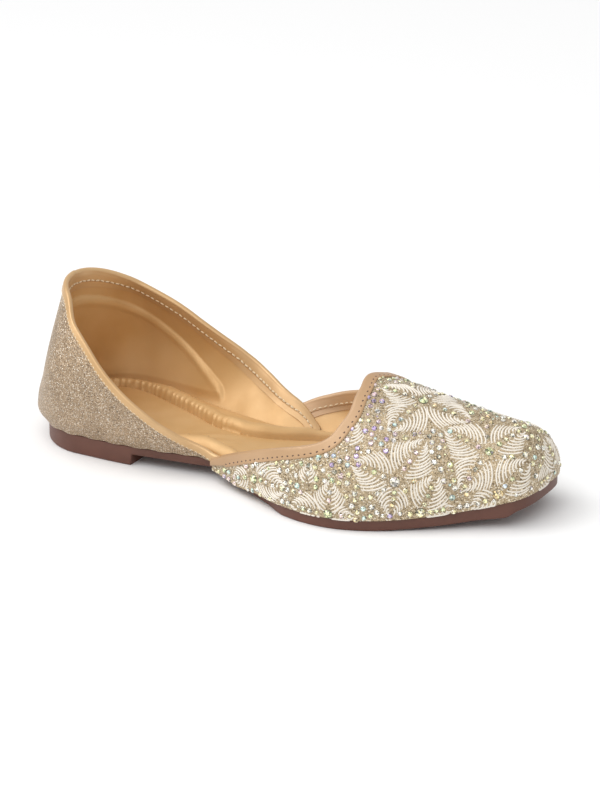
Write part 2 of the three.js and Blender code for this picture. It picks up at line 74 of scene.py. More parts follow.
# Share of the length, half breadths as shares of half the width named last
OUTLINE = np.array([
    (0.0, 1.0, 0.95, HEEL_WIDTH), (0.12, 1.03, 0.97, HEEL_WIDTH), (0.235, 1.03, 0.87, HEEL_WIDTH),
    (0.31, 1.25, 0.93, WAIST_WIDTH), (0.385, 1.2, 0.8, WAIST_WIDTH), (0.45, 1.42, 0.83, WAIST_WIDTH),
    (0.515, 0.965, 0.58, BALL_WIDTH), (0.575, 1.11, 0.7, BALL_WIDTH), (0.64, 1.2, 0.785, BALL_WIDTH),
    (0.7, 1.19, 0.81, BALL_WIDTH), (0.765, 1.06, 0.8, BALL_WIDTH), (0.83, 0.845, 0.765, BALL_WIDTH),
    (0.9, 1.29, 1.56, TOE_WIDTH), (0.95, 0.9, 1.43, TOE_WIDTH), (1.0, 0.6, 1.4, TOE_WIDTH)])
HEEL_ROUND, TOE_START, TOE_SQUARE, TOE_CORNER = 0.118, 0.95, 3.6, 3.0
HEEL_TURN, TOE_TURN = 0.15, 0.85


def through(places, values, x):
    """Smooth curve through the values at the given places."""
    places, values = np.asarray(places, float), np.asarray(values, float)
    x = np.clip(np.asarray(x, float), places[0], places[-1])
    step = np.diff(places)
    slope = np.diff(values) / step
    tangent = np.empty(len(places))
    tangent[0], tangent[-1] = slope[0], slope[-1]
    tangent[1:-1] = (slope[:-1] * step[1:] + slope[1:] * step[:-1]) / (step[:-1] + step[1:])
    k = np.clip(np.searchsorted(places, x, side="right") - 1, 0, len(places) - 2)
    t = (x - places[k]) / step[k]
    return ((2 * t**3 - 3 * t**2 + 1) * values[k] + (t**3 - 2 * t**2 + t) * step[k] * tangent[k]
            + (3 * t**2 - 2 * t**3) * values[k + 1] + (t**3 - t**2) * step[k] * tangent[k + 1])


def ease(x, low, high):
    t = np.clip((np.asarray(x, float) - low) / (high - low), 0, 1)
    return t * t * (3 - 2 * t)


def within(x, start, full, fading, end):
    return ease(x, start, full) * (1 - ease(x, fading, end))


def lerp(a, b, t):
    return a + (b - a) * t


def breadth(share, column):
    return through(OUTLINE[:, 0], OUTLINE[:, column] * OUTLINE[:, 3] / 2, share)


def middle(share):
    return (breadth(share, 2) - breadth(share, 1)) / 2


def half_width(share):
    return (breadth(share, 2) + breadth(share, 1)) / 2


def toe_closing(share):
    t = np.clip((share - TOE_START) / (1 - TOE_START), 0, 1)
    return (1 - t**TOE_SQUARE) ** (1 / TOE_CORNER)


def walk(u):
    """Share of the length, and how far the outline is open, at u along one side from heel to toe."""
    u = np.asarray(u, float)
    heel = np.clip(u / HEEL_TURN, 0, 1) * math.pi / 2
    toe = np.clip((u - TOE_TURN) / (1 - TOE_TURN), 0, 1) * math.pi / 2
    straight = lerp(HEEL_ROUND, TOE_START, (u - HEEL_TURN) / (TOE_TURN - HEEL_TURN))
    reach = lerp(TOE_START, 1, np.sin(toe) ** (2 / TOE_SQUARE))
    share = np.where(u < HEEL_TURN, HEEL_ROUND * (1 - np.cos(heel)), np.where(u <= TOE_TURN, straight, reach))
    closing = np.maximum(np.cos(toe), 0) ** (2 / TOE_CORNER)
    return share, np.where(u < HEEL_TURN, np.sin(heel), np.where(u <= TOE_TURN, 1, closing))


def edge(u, side):
    share, opened = walk(u)
    return np.stack([share * LENGTH, middle(share) + side * half_width(share) * opened], -1)


def edge_normal(u, side):
    u = np.asarray(u, float)
    along = edge(np.minimum(u + 0.002, 1), side) - edge(np.maximum(u - 0.002, 0), side)
    side = np.asarray(side, float)
    normal = np.stack([-along[..., 1] * side, along[..., 0] * side], -1)
    normal /= np.linalg.norm(normal, axis=-1, keepdims=True)
    normal = np.where((u <= 0)[..., None], [-1.0, 0.0], normal)
    return np.where((u >= 1)[..., None], [1.0, 0.0], normal)


WALK = np.linspace(0, 1, 4001)


def u_at(share):
    return np.interp(share, walk(WALK)[0], WALK)


def plate_under(share):
    spring = np.clip((share - 0.74) / 0.26, 0, 1) ** 2
    return HEEL_LIFT * (1 - ease(share, 0.36, 0.57)) + TOE_SPRING * spring


def sole_top(share):
    return plate_under(share) + lerp(THIN_PLATE, THICK_PLATE, ease(share, 0.3, 0.65))


# The shoe's own x starts at the back of the heel, and its lateral side is the lowest in y
sole_low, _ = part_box("outsole")
PLACE = np.array([sole_low.x / MM, sole_low.y / MM - edge(WALK, LATERAL)[:, 1].min(), 0.0])


def put(name, data):
    made = bpy.data.objects.new(name, data)
    bpy.context.collection.objects.link(made)
    return made


def piece(name, points, faces, material, slot, sharp=50):
    """A named object from points in the shoe's own millimetres, riding on the shoe's one body."""
    mesh = bpy.data.meshes.new(name)
    faces = faces if isinstance(faces, list) else faces.tolist()
    mesh.from_pydata(((np.asarray(points) + PLACE) * MM).tolist(), [], faces)
    mesh.validate()
    mesh.materials.append(material)
    mesh.shade_smooth()
    mesh.set_sharp_from_angle(angle=math.radians(sharp))
    made = put(name, mesh)
    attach(made, "root")
    return made


def grid_faces(rows, columns, start=0):
    i = np.arange(rows * columns).reshape(rows, columns) + start
    return np.stack([i[:-1, :-1], i[1:, :-1], i[1:, 1:], i[:-1, 1:]], -1).reshape(-1, 4)


def volume(points, faces):
    a, b, c, d = (points[faces[:, k]] for k in range(4))
    return np.einsum("ij,ij->i", a, np.cross(b, c) + np.cross(c, d)).sum() / 6


def shell(outer, inner):
    """Closed body between two skins given as equal grids of points."""
    rows, columns, _ = outer.shape
    count = rows * columns
    i = np.arange(count).reshape(rows, columns)
    ring = np.concatenate([i[:, 0], i[-1, 1:], i[-2::-1, -1], i[0, -2:0:-1]])
    following = np.roll(ring, -1)
    rim = np.stack([following, ring, ring + count, following + count], -1)
    points = np.concatenate([outer.reshape(-1, 3), inner.reshape(-1, 3)])
    faces = np.concatenate([grid_faces(rows, columns), grid_faces(rows, columns, count)[:, ::-1], rim])
    return points, faces if volume(points, faces) > 0 else faces[:, ::-1]


def new_material(name):
    material = bpy.data.materials.new(name)
    material.use_nodes = True
    tree = material.node_tree
    where = tree.nodes.new("ShaderNodeTexCoord").outputs["Object"]
    return material, tree, tree.nodes["Principled BSDF"], where


def node(tree, kind, inputs=(), **settings):
    made = tree.nodes.new(kind)
    for key, value in settings.items():
        setattr(made, key, value)
    for key, value in dict(inputs).items():
        if isinstance(value, bpy.types.NodeSocket):
            tree.links.new(value, made.inputs[key])
        else:
            made.inputs[key].default_value = value
    return made


def ramp(tree, source, stops):
    made = node(tree, "ShaderNodeValToRGB", {"Fac": source})
    while len(made.color_ramp.elements) < len(stops):
        made.color_ramp.elements.new(0.5)
    for element, (position, colour) in zip(made.color_ramp.elements, stops):
        element.position = position
        element.color = (*colour, 1)
    return made.outputs["Color"]


def noise(tree, where, scale, detail=3, rough=0.55):
    inputs = {"Vector": where, "Scale": scale, "Detail": detail, "Roughness": rough}
    return node(tree, "ShaderNodeTexNoise", inputs).outputs["Fac"]


def bump(tree, height, strength, distance):
    inputs = {"Height": height, "Strength": strength, "Distance": distance}
    return node(tree, "ShaderNodeBump", inputs).outputs["Normal"]


def paint(tree, shader, socket, source, stops):
    """Lead a source through a ramp of greys or colours into one of the shader's sockets."""
    stops = [(place, tone if isinstance(tone, tuple) else (tone,) * 3) for place, tone in stops]
    tree.links.new(ramp(tree, source, stops), shader.inputs[socket])


def fill(shader, **values):
    for name, value in values.items():
        shader.inputs[name.replace("_", " ")].default_value = value


def rubber():
    material, tree, shader, where = new_material("moulded_rubber")
    cloud = noise(tree, where, 60)
    paint(tree, shader, "Base Color", cloud, [(0.3, (0.098, 0.034, 0.020)), (0.7, (0.138, 0.050, 0.031))])
    grain = noise(tree, where, 2600, 4)
    paint(tree, shader, "Roughness", grain, [(0.2, 0.40), (0.8, 0.56)])
    tree.links.new(bump(tree, grain, 0.25, 0.0001), shader.inputs["Normal"])
    return material


def sole_body():
    breast = u_at([HEEL_BLOCK_LENGTH / LENGTH, (HEEL_BLOCK_LENGTH + BREAST_SLOPE) / LENGTH])
    u = np.unique(np.concatenate([np.linspace(0, 1, 321), breast]))
    share, _ = walk(u)
    low = plate_under(share) * np.clip((share * LENGTH - HEEL_BLOCK_LENGTH) / BREAST_SLOPE, 0, 1)
    low = np.maximum(low - TOE_THICKENING * ease(share, 0.8, 0.92), 0)
    corner = CORNER_DROP * np.exp(-(((u - u_at(0.965)) / 0.022) ** 2))
    high = sole_top(share)
    inset = WAIST_INSET * within(share, 0.36, 0.4, 0.54, 0.6)
    turn = np.linspace(0, math.pi / 2, 7)
    # inward and upward steps of the rounded ground edge, then of the feather edge at the top
    ground = [(EDGE_ROUND * (1 - math.sin(t)), EDGE_ROUND * (1 - math.cos(t))) for t in turn]
    feather = [(0.35 * EDGE_ROUND * (1 - math.cos(t)), 0.45 * EDGE_ROUND * (1 - math.sin(t))) for t in turn]
    walls = []
    for side in (LATERAL, MEDIAL):
        rows = []
        for inward, up in ground:
            place = edge(u, side) - edge_normal(u, side) * (inset + inward)[:, None]
            rows.append(np.column_stack([place, low - (corner if side < 0 else 0) + up]))
        for inward, down in feather:
            place = edge(u, side) - edge_normal(u, side) * (inset + inward)[:, None]
            rows.append(np.column_stack([place, high - down]))
        walls.append(np.stack(rows, 1))
    return shell(walls[0], walls[1])


outsole = piece("outsole_unit", *sole_body(), rubber(), "sole_rubber", sharp=40)
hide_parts("outsole")

# Sock: foam covered in pearlised gold leather, glued into the shoe over the sole.
# Its cover is gathered round the heel in small pleats and rolled up along both sides into a soft rim.
WALL, CLEARANCE = 2.0, 0.3
BACK_HEIGHT = 63.5
LEDGE, ARCH_FLARE = 0.6, 13.0
# Share of the back height, and standing out from the sole at the back and at the sides in parts of SWELL_UNIT
SWELL_UNIT = 8.0
SWELL = np.array([(0.0, 0.2, 0.05), (0.07, 0.58, 0.4), (0.15, 0.55, 0.66), (0.36, 0.07, 1.03),
                  (0.69, -0.52, 0.25), (1.0, -1.1, -1.5)])
# Distance of the crease from the wall along the medial and the lateral side
CREASE = np.array([
    (0.0, 5.0, 5.0), (0.09, 5.5, 5.5), (0.144, 7.0, 6.0), (0.22, 12.5, 6.5), (0.297, 16.5, 7.5),
    (0.343, 19.3, 8.0), (0.409, 19.0, 8.0), (0.467, 13.6, 7.5), (0.534, 6.0, 6.0), (0.6, 4.0, 4.0),
    (1.0, 3.0, 3.0)])
ROLL_WIDTH, ROLL_HEIGHT, CREASE_DEPTH, PLEAT_PITCH = 10.0, 4.3, 1.7, 3.4
FOAM_EDGE, FOAM_CROWN = 3.1, 1.0
# Soft puckers that run in from the lateral wing: middle x and y, direction and reach
PUCKERS = [(84.0, -14.0, 0.5, 13.0), (91.0, -17.0, 0.42, 11.0), (121.0, -5.5, 0.79, 15.0)]
PUCKER_HEIGHT, HEEL_PRINT = 0.65, 0.9


def arch_flare(share, side, height):
    up = 1 - np.exp(-((np.maximum(height, 0) / 10) ** 1.3))
    return np.where(np.asarray(side) < 0, 0, ARCH_FLARE * within(share, 0.22, 0.39, 0.52, 0.66) * up)


def quarter_offset(share, side, height):
    up = height / BACK_HEIGHT
    back = np.exp(-((share / 0.07) ** 2))
    swell = lerp(through(SWELL[:, 0], SWELL[:, 2], up), through(SWELL[:, 0], SWELL[:, 1], up), back)
    under_wing = LEDGE - WALL + 0.5
    return lerp(swell * SWELL_UNIT, under_wing, ease(share, 0.29, 0.45)) + arch_flare(share, side, height)


def lining_offset(share, side):
    return lerp(quarter_offset(share, side, 0 * share) - WALL, LEDGE - WALL, ease(share, 0.54, 0.58))


def pearl_leather(name, dark, light, rough, metal, grain=0.12):
    material, tree, shader, where = new_material(name)
    cloud = noise(tree, where, 38, 2)
    paint(tree, shader, "Base Color", cloud, [(0.3, dark), (0.72, light)])
    fine = noise(tree, where, 3400, 3, 0.6)
    smear = noise(tree, where, 240, 3)
    mixed = node(tree, "ShaderNodeMath", {0: fine, 1: smear}, operation="ADD").outputs[0]
    paint(tree, shader, "Roughness", smear, [(0.25, rough[0]), (0.8, rough[1])])
    tree.links.new(bump(tree, mixed, grain, 0.00012), shader.inputs["Normal"])
    fill(shader, Metallic=metal, Coat_Weight=0.3, Coat_Roughness=0.5)
    return material


def length_along(points):
    return np.concatenate([[0], np.cumsum(np.linalg.norm(np.diff(points, axis=0), axis=1))])


def sock_body():
    u = np.concatenate([np.linspace(0, 0.15, 60, endpoint=False),
                        np.linspace(0.15, 0.75, 340, endpoint=False), np.linspace(0.75, 1, 70)])
    share, _ = walk(u)
    gap = 2 * CLEARANCE
    near = edge(u, LATERAL) + edge_normal(u, LATERAL) * (lining_offset(share, LATERAL) - gap)[:, None]
    far = edge(u, MEDIAL) + edge_normal(u, MEDIAL) * (lining_offset(share, MEDIAL) - gap)[:, None]
    across = np.linspace(0, 1, 95)[None, :]
    plan = near[:, None] + (far - near)[:, None] * across[..., None]
    width = np.linalg.norm(far - near, axis=1)[:, None]
    s = share[:, None] + 0 * across
    height = FOAM_EDGE + FOAM_CROWN * np.sin(math.pi * across) ** 0.7 + 0 * s
    walked = length_along(far)[:, None]
    for column, distance in ((1, width * (1 - across)), (2, width * across)):
        crease = np.minimum(through(CREASE[:, 0], CREASE[:, column], s), width * 0.46)
        out = crease - distance
        roll = np.minimum(ROLL_WIDTH, np.maximum(crease, 0.5))
        rise = np.sin(math.pi * np.clip(out / roll, 0, 1) ** 0.9) ** 0.7
        tall = ROLL_HEIGHT * np.clip(roll / ROLL_WIDTH, 0, 1) ** 0.6 * (1 if column == 1 else 0.8)
        height = height + tall * rise - CREASE_DEPTH * np.exp(-((out / 0.55) ** 2))
        uneven = 0.9 * np.sin(walked * 0.37) + 0.6 * np.sin(walked * 0.83 + 1.0)
        pleats = np.maximum(np.cos(2 * math.pi * walked / PLEAT_PITCH + uneven), -0.3)
        bite = np.exp(-(((out - 1.1) / 1.3) ** 2)) * within(s, 0.02, 0.06, 0.33, 0.42)
        depth = 0.62 + 0.2 * np.sin(walked * 1.7) + 0.15 * np.sin(walked * 0.61)
        height = height + depth * pleats * bite
        lazy = np.sin(walked * 0.42 + 1.0) * np.exp(-(((out - 4.5) / 3.0) ** 2))
        height = height + 0.16 * lazy * within(s, 0.3, 0.4, 0.8, 0.95)
    x, y = plan[..., 0], plan[..., 1]
    for px, py, angle, reach in PUCKERS:
        dx, dy = x - px, y - py
        along = dx * math.cos(angle) + dy * math.sin(angle)
        off = -dx * math.sin(angle) + dy * math.cos(angle)
        height = height + PUCKER_HEIGHT * np.exp(-((off / 2.5) ** 2) - (along / reach) ** 2)
    # a shallow print of the heel lies between the rims
    height = height - HEEL_PRINT * np.exp(-(((x - 32) / 22) ** 2) - ((y + 1) / 13) ** 2)
    floor = (sole_top(share) + CLEARANCE)[:, None] + 0 * across
    top = np.concatenate([plan, (floor + height)[..., None]], -1)
    bottom = np.concatenate([plan, floor[..., None]], -1)
    return shell(top, bottom)


pearl_gold = pearl_leather("pearl_gold_leather", (0.60, 0.355, 0.135), (0.69, 0.445, 0.205),
                           (0.46, 0.6), 0.28)
sock = piece("padded_sock", *sock_body(), pearl_gold, "sock_leather", sharp=80)
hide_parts("insole")

# Quarter lining: the same pearl leather, pasted inside the counter from wing to wing.
# A D-shaped foam pad under it makes the soft swelling round the inside of the heel.
COLLAR = np.array([(0.0, 0.99, 0.985), (0.07, 0.905, 0.9), (0.11, 0.8, 0.845), (0.15, 0.69, 0.77),
                   (0.19, 0.565, 0.69), (0.23, 0.445, 0.592), (0.27, 0.325, 0.478), (0.31, 0.215, 0.372),
                   (0.35, 0.12, 0.296), (0.4, 0.05, 0.248), (0.44, 0.0, 0.204), (0.47, 0.0, 0.16),
                   (0.5, 0.0, 0.065), (0.52, 0.0, 0.0)])
PAD_TOP = np.array([(0.0, 50.5), (0.052, 45.5), (0.102, 39.0), (0.154, 30.5), (0.209, 20.8), (0.25, 13.2),
                    (0.279, 7.2), (0.29, 3.0), (0.3, -4.0)])
QUARTER_END, CLOTH_THICKNESS = 0.52, 0.65
PAD_THICKNESS, PAD_EDGE, PAD_RIDGE = 1.15, 2.6, 0.3
# The wall loses this much towards its upper edge, over this height
EDGE_THINNING, THINNING_HEIGHT = 0.7, 2.2


def collar_height(share, side):
    column = np.where(np.asarray(side) < 0, through(COLLAR[:, 0], COLLAR[:, 1], share),
                      through(COLLAR[:, 0], COLLAR[:, 2], share))
    return np.maximum(column * BACK_HEIGHT, 2.8)


def skin_normals(grid, out):
    """Unit normals of a grid of points; out is a rough outward direction for each point."""
    normal = np.cross(np.gradient(grid, axis=0), np.gradient(grid, axis=1))
    normal /= np.linalg.norm(normal, axis=-1, keepdims=True) + 1e-12
    return normal * np.where((normal * out).sum(-1, keepdims=True) < 0, -1, 1)


def both_sides(steps):
    """Stations from the lateral tip (side -1) round to the medial one, as position 0..1 and side."""
    run = np.linspace(0, 1, steps + 1)
    return np.concatenate([run, run[-2::-1]]), np.concatenate([-np.ones(steps + 1), np.ones(steps)])


def quarter_skin(steps, levels):
    run, side = both_sides(steps)
    u = u_at(QUARTER_END) * (1 - run)
    share, _ = walk(u)
    height = levels[None, :] * collar_height(share, side)[:, None]
    s, w = share[:, None] + 0 * height, side[:, None] + 0 * height
    plan = edge(u, side)[:, None] + edge_normal(u, side)[:, None] * quarter_offset(s, w, height)[..., None]
    z = sole_top(share)[:, None] + CLEARANCE + height
    grid = np.concatenate([plan, z[..., None]], -1)
    out = np.concatenate([edge_normal(u, side), 0 * u[:, None]], -1)[:, None] + 0 * grid
    return grid, skin_normals(grid, out), s, w, height


def heel_pad_swelling(share, side, height):
    inside = (through(PAD_TOP[:, 0], PAD_TOP[:, 1], share) - height) * 0.75
    rim = np.clip(inside / PAD_EDGE, 0, 1)
    body = np.sqrt(np.maximum(1 - (1 - rim) ** 2, 0))
    ridge = PAD_RIDGE * np.exp(-(((inside - 2.4) / 1.3) ** 2))
    foot = ease(height, 1.5, 6.0)
    return np.where(inside > 0, (PAD_THICKNESS * body + ridge) * foot, 0)


quarter_levels = 1 - (1 - np.linspace(0, 1, 90)) ** 1.15  # closer together near the collar
skin, skin_out, skin_share, skin_side, skin_height = quarter_skin(200, quarter_levels)
swelling = heel_pad_swelling(skin_share, skin_side, skin_height)
to_collar = collar_height(skin_share, skin_side) - skin_height
wall = WALL - EDGE_THINNING * np.exp(-(to_collar / THINNING_HEIGHT))
slack = 0.22 * np.sin(skin[..., 0] * 0.31 + skin_height * 0.22) * within(skin_share, 0.3, 0.36, 0.44, 0.5)
GLUE_LINE = 0.05
lining_face = skin - skin_out * (wall + swelling + slack)[..., None]
lining = piece("quarter_lining", *shell(lining_face, skin - skin_out * (CLOTH_THICKNESS + GLUE_LINE)),
               pearl_gold, "lining_leather", sharp=80)
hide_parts("heel_pad", "upper")

# Quarter cloth: champagne glitter fabric over a stiff counter, lasted under at the feather edge.
# Its flakes lie at random angles, so single ones flash while the rest looks like fine sand.


def glitter_cloth(name, dark, base, light, flake=3200.0):
    material, tree, shader, where = new_material(name)
    cells = node(tree, "ShaderNodeTexVoronoi", {"Vector": where, "Scale": flake, "Randomness": 1.0})
    pick = node(tree, "ShaderNodeSeparateColor", {"Color": cells.outputs["Color"]})
    glint = (0.95, 0.9, 0.8)
    tone = ramp(tree, pick.outputs[0], [(0.0, dark), (0.3, base), (0.72, base), (0.9, light), (1.0, glint)])
    cloud = noise(tree, where, 90, 3)
    shade = ramp(tree, cloud, [(0.3, (0.88,) * 3), (0.7, (1.06,) * 3)])
    mixed = node(tree, "ShaderNodeMix", {0: 1.0, 6: tone, 7: shade}, data_type="RGBA", blend_type="MULTIPLY")
    tree.links.new(mixed.outputs[2], shader.inputs["Base Color"])
    paint(tree, shader, "Roughness", pick.outputs[1], [(0.0, 0.22), (0.6, 0.55)])
    paint(tree, shader, "Metallic", pick.outputs[2], [(0.55, 0.1), (0.8, 0.75)])
    centred = node(tree, "ShaderNodeVectorMath", {0: cells.outputs["Color"], 1: (0.5, 0.5, 0.5)},
                   operation="SUBTRACT")
    tilt = node(tree, "ShaderNodeVectorMath", {0: centred.outputs[0], "Scale": 0.7}, operation="SCALE")
    weave = noise(tree, where, 1500, 2)
    smooth = bump(tree, weave, 0.25, 0.0002)
    tilted = node(tree, "ShaderNodeVectorMath", {0: smooth, 1: tilt.outputs[0]}, operation="ADD")
    unit = node(tree, "ShaderNodeVectorMath", {0: tilted.outputs[0]}, operation="NORMALIZE")
    tree.links.new(unit.outputs[0], shader.inputs["Normal"])
    return material


quarter_finish = glitter_cloth("champagne_glitter", (0.10, 0.065, 0.035), (0.385, 0.272, 0.168),
                               (0.64, 0.5, 0.36))
# small pulls where the cloth is drawn under at the sole
lasted = 0.25 * np.sin(skin[..., 0] * 0.55) * np.exp(-((skin_height / 2.5) ** 2))
cloth_face = skin + skin_out * lasted[..., None]
quarter = piece("quarter_cloth", *shell(cloth_face[::2], (skin - skin_out * CLOTH_THICKNESS)[::2]),
                quarter_finish, "upper_fabric", sharp=80)
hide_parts("upper")

# Vamp: the same glitter cloth on a stiff backing with a thin lining, lasted over the toe.
# Its two wings lie outside the quarter and hang a little over the side of the sole.
INSTEP_HEIGHT = 49.5
# Share of the length, and height of the vamp's ridge as a share of INSTEP_HEIGHT
RIDGE = np.array([(0.4, 1.05), (0.55, 1.04), (0.66, 1.0), (0.75, 0.905), (0.84, 0.76), (0.9, 0.64),
                  (0.95, 0.55), (1.0, 0.48)])
# Way from the wing's tip to the middle, share of the length, and height as a share of the ridge there
TOPLINE = np.array([(0.0, 0.41, 0.025), (0.1, 0.471, 0.2), (0.22, 0.55, 0.39), (0.36, 0.655, 0.57),
                    (0.54, 0.69, 0.78), (0.76, 0.687, 0.94), (1.0, 0.678, 1.0)])
SECTION_POWER, SECTION_ROUND = 1.6, 0.41
BELLY, WING_DROP, VAMP_RIBS = 1.2, 2.8, 30


def vamp_height(x, y):
    share = np.clip(x / LENGTH, 0, 1 - 1e-5)
    cap = np.clip((share - 0.94) / 0.06, 0, 1)
    ridge = through(RIDGE[:, 0], RIDGE[:, 1], share) * INSTEP_HEIGHT * np.sqrt(1 - cap**3)
    across = np.minimum(np.abs(y - middle(share)) / (half_width(share) * toe_closing(share)), 1)
    return share, across, ridge * np.maximum(1 - across**SECTION_POWER, 0) ** SECTION_ROUND


def topline_plan(along, side):
    share = through(TOPLINE[:, 0], TOPLINE[:, 1], along)
    rise = np.clip(through(TOPLINE[:, 0], TOPLINE[:, 2], along), 0, 1)
    across = (1 - rise ** (1 / SECTION_ROUND)) ** (1 / SECTION_POWER)
    return np.stack([share * LENGTH, middle(share) + side * across * half_width(share)], -1)


def evenly(curve, start, end, count):
    params = np.linspace(start, end, 161)
    points = curve(params)
    lengths = length_along(points)
    return np.interp(np.linspace(0, lengths[-1], count + 1), lengths, params)


WING_TIP = u_at(TOPLINE[0, 1])
FOOT = {side: evenly(lambda u: edge(u, side), WING_TIP, 1, VAMP_RIBS) for side in (-1, 1)}
HEAD = {side: evenly(lambda t: topline_plan(t, side), 0, 1, VAMP_RIBS) for side in (-1, 1)}


def vamp_point(rib, side, level):
    """Outside of the vamp: rib 0 at a wing's tip, 1 at the middle; level 0 at the sole, 1 at the topline."""
    rib, side, level = np.broadcast_arrays(*(np.asarray(value, float) for value in (rib, side, level)))
    ribs = np.linspace(0, 1, VAMP_RIBS + 1)
    u = np.where(side < 0, np.interp(rib, ribs, FOOT[-1]), np.interp(rib, ribs, FOOT[1]))
    along = np.where(side < 0, np.interp(rib, ribs, HEAD[-1]), np.interp(rib, ribs, HEAD[1]))
    foot = edge(u, side)
    plan = foot + (topline_plan(along, side) - foot) * (level**2)[..., None]
    share, across, height = vamp_height(plan[..., 0], plan[..., 1])
    belly = BELLY * (1 + np.exp(-(((height - 7) / 9) ** 2))) / 2
    plan = plan + edge_normal(u, side) * (belly + arch_flare(share, side, height) * across)[..., None]
    start = foot[..., 0] / LENGTH
    rest = sole_top(start) - WING_DROP * (1 - ease(start, 0.47, 0.54))
    z = lerp(sole_top(share), rest, (1 - level) ** 2) + CLEARANCE + height
    return np.concatenate([plan, z[..., None]], -1), edge_normal(u, side)


vamp_run, vamp_side = both_sides(180)
vamp, vamp_foot = vamp_point(vamp_run[:, None], vamp_side[:, None], np.linspace(0, 1, 90)[None, :])
vamp_rough = np.concatenate([vamp_foot, 0.6 + 0 * vamp_foot[..., :1]], -1)
vamp_out = skin_normals(vamp, vamp_rough)
vamp_finish = glitter_cloth("champagne_ground", (0.11, 0.075, 0.037), (0.46, 0.355, 0.22),
                            (0.84, 0.72, 0.53), 2300.0)
vamp_cloth = piece("vamp_cloth", *shell(vamp, vamp - vamp_out * CLOTH_THICKNESS), vamp_finish,
                   "upper_fabric", sharp=80)
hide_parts("upper")
backing = vamp - vamp_out * (CLOTH_THICKNESS + GLUE_LINE)
piece("vamp_lining", *shell(backing[::2], (vamp - vamp_out * WALL)[::2]),
      pearl_gold, "lining_leather", sharp=80)

# Bindings: strips of smooth gold leather folded over the raw edges of quarter and vamp and stitched down.
# Inside, a second narrow facing shows its cut edge below the fold.
FACING_THICKNESS = 0.34


def down_from_edge(skin, normals, depths):
    """Points and normals at depths in mm below the last level of each station."""
    points = np.empty((len(skin), len(depths), 3))
    outs = np.empty_like(points)
    for i, (row, normal) in enumerate(zip(skin[:, ::-1], normals[:, ::-1])):
        lengths = length_along(row)
        for axis in range(3):
            points[i, :, axis] = np.interp(depths, lengths, row[:, axis])
            outs[i, :, axis] = np.interp(depths, lengths, normal[:, axis])
    return points, outs / np.linalg.norm(outs, axis=-1, keepdims=True)


def binding_body(skin, normals, outside, inside, facing, thick, tip=0.0):
    """Strip folded over an edge: its widths outside and inside, and how far the facing below it reaches."""
    full = np.linalg.norm(np.diff(skin, axis=1), axis=-1).sum(1)
    outer, inner = [], []
    turn = np.linspace(0, math.pi, 15)[1:-1]
    stations = [(0, t) for t in np.linspace(1, 0, 9, endpoint=False)] if tip else []
    stations += [(i, 0.0) for i in range(len(skin))]
    stations += [(len(skin) - 1, t) for t in np.linspace(0, 1, 10)[1:]] if tip else []
    for i, beyond in stations:
        reach = min(i, len(skin) - 1 - i) / 16 if tip else 1
        wide = min(outside * (0.45 + 0.55 * ease(reach, 0, 1)), full[i] - 0.2)
        depth_out = wide * np.concatenate([[1.0, 0.99, 0.97, 0.94], np.linspace(0.9, 0, 14)])
        depth_in = np.concatenate([
            np.linspace(0, inside - 0.4, 12), [inside - 0.15, inside, inside + 0.08],
            np.linspace(inside + 0.3, facing - 0.3, 6), [facing - 0.1, facing]])
        depth_in = np.minimum(depth_in, full[i] - 0.2)
        depths = np.concatenate([depth_out, depth_in, [0.7]])
        row, out = (found[0] for found in down_from_edge(skin[i:i + 1], normals[i:i + 1], depths))
        n = len(depth_out)
        top, out_top = row[n], out[n]
        up = (top - row[-1]) / (np.linalg.norm(top - row[-1]) + 1e-9)
        slim = math.sqrt(max(1 - beyond**2, 0.02))
        rise = thick * (0.3 + 0.7 * np.clip((wide - depth_out) / 0.6, 0, 1) ** 0.5)
        back = WALL - EDGE_THINNING * np.exp(-depth_in / THINNING_HEIGHT)
        half = back[0] / 2
        band = np.where(depth_in < inside + 0.05, thick * 0.75, FACING_THICKNESS)
        band = np.where(depth_in < inside - 0.1, thick, band)
        band = np.where(depth_in > facing - 0.05, 0.05, band)
        centre = top - out_top * half
        rounded = np.cos(turn)[:, None] * out_top + np.sin(turn)[:, None] * up
        lines = []
        for lift_out, lift_turn, lift_in in ((0.12 + rise, thick + 0.12, 0.1 + band), (0.06, 0.06, 0.06)):
            left = row[:n] + out[:n] * np.broadcast_to(lift_out, n)[:, None]
            fold = centre + (half + lift_turn) * rounded
            right = row[n:-1] - out[n:-1] * (back + lift_in)[:, None]
            lines.append(np.concatenate([left, fold, right]))
        if beyond:
            step = 1 if i == 0 else -1
            push = skin[i, -1] - skin[i + step, -1]
            push /= np.linalg.norm(push)
            middle_line = row[n // 2] - out[n // 2] * half
            lines = [middle_line + (line - middle_line) * slim + push * tip * beyond for line in lines]
        outer.append(lines[0])
        inner.append(lines[1])
    return shell(np.array(outer), np.array(inner))


# Share of the length at which the collar's strip runs in under the wing, on each side
LATERAL_END, MEDIAL_END = 0.43, 0.505
collar_steps = 230
collar, collar_out, collar_share, _, _ = quarter_skin(collar_steps, quarter_levels)
on_medial = np.arange(len(collar)) > collar_steps
shown = collar_share[:, 0] < np.where(on_medial, MEDIAL_END, LATERAL_END)
collar, collar_out = collar[shown], collar_out[shown]
binding_gold = pearl_leather("binding_gold_leather", (0.56, 0.34, 0.15), (0.65, 0.42, 0.205),
                             (0.3, 0.42), 0.3, 0.08)
collar_binding = piece("collar_binding_strip", *binding_body(collar, collar_out, 3.0, 5.0, 8.2, 0.5),
                       binding_gold, "collar_leather", sharp=60)
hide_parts("collar_binding")

rib_lengths = np.linalg.norm(np.diff(vamp, axis=1), axis=-1).sum(1)
surface = BVHTree.FromPolygons(vamp.reshape(-1, 3).tolist(), grid_faces(*vamp.shape[:2]).tolist())
STRIP_REACH, STRIP_STEPS, TIP_STATIONS = 9.0, 45, 26


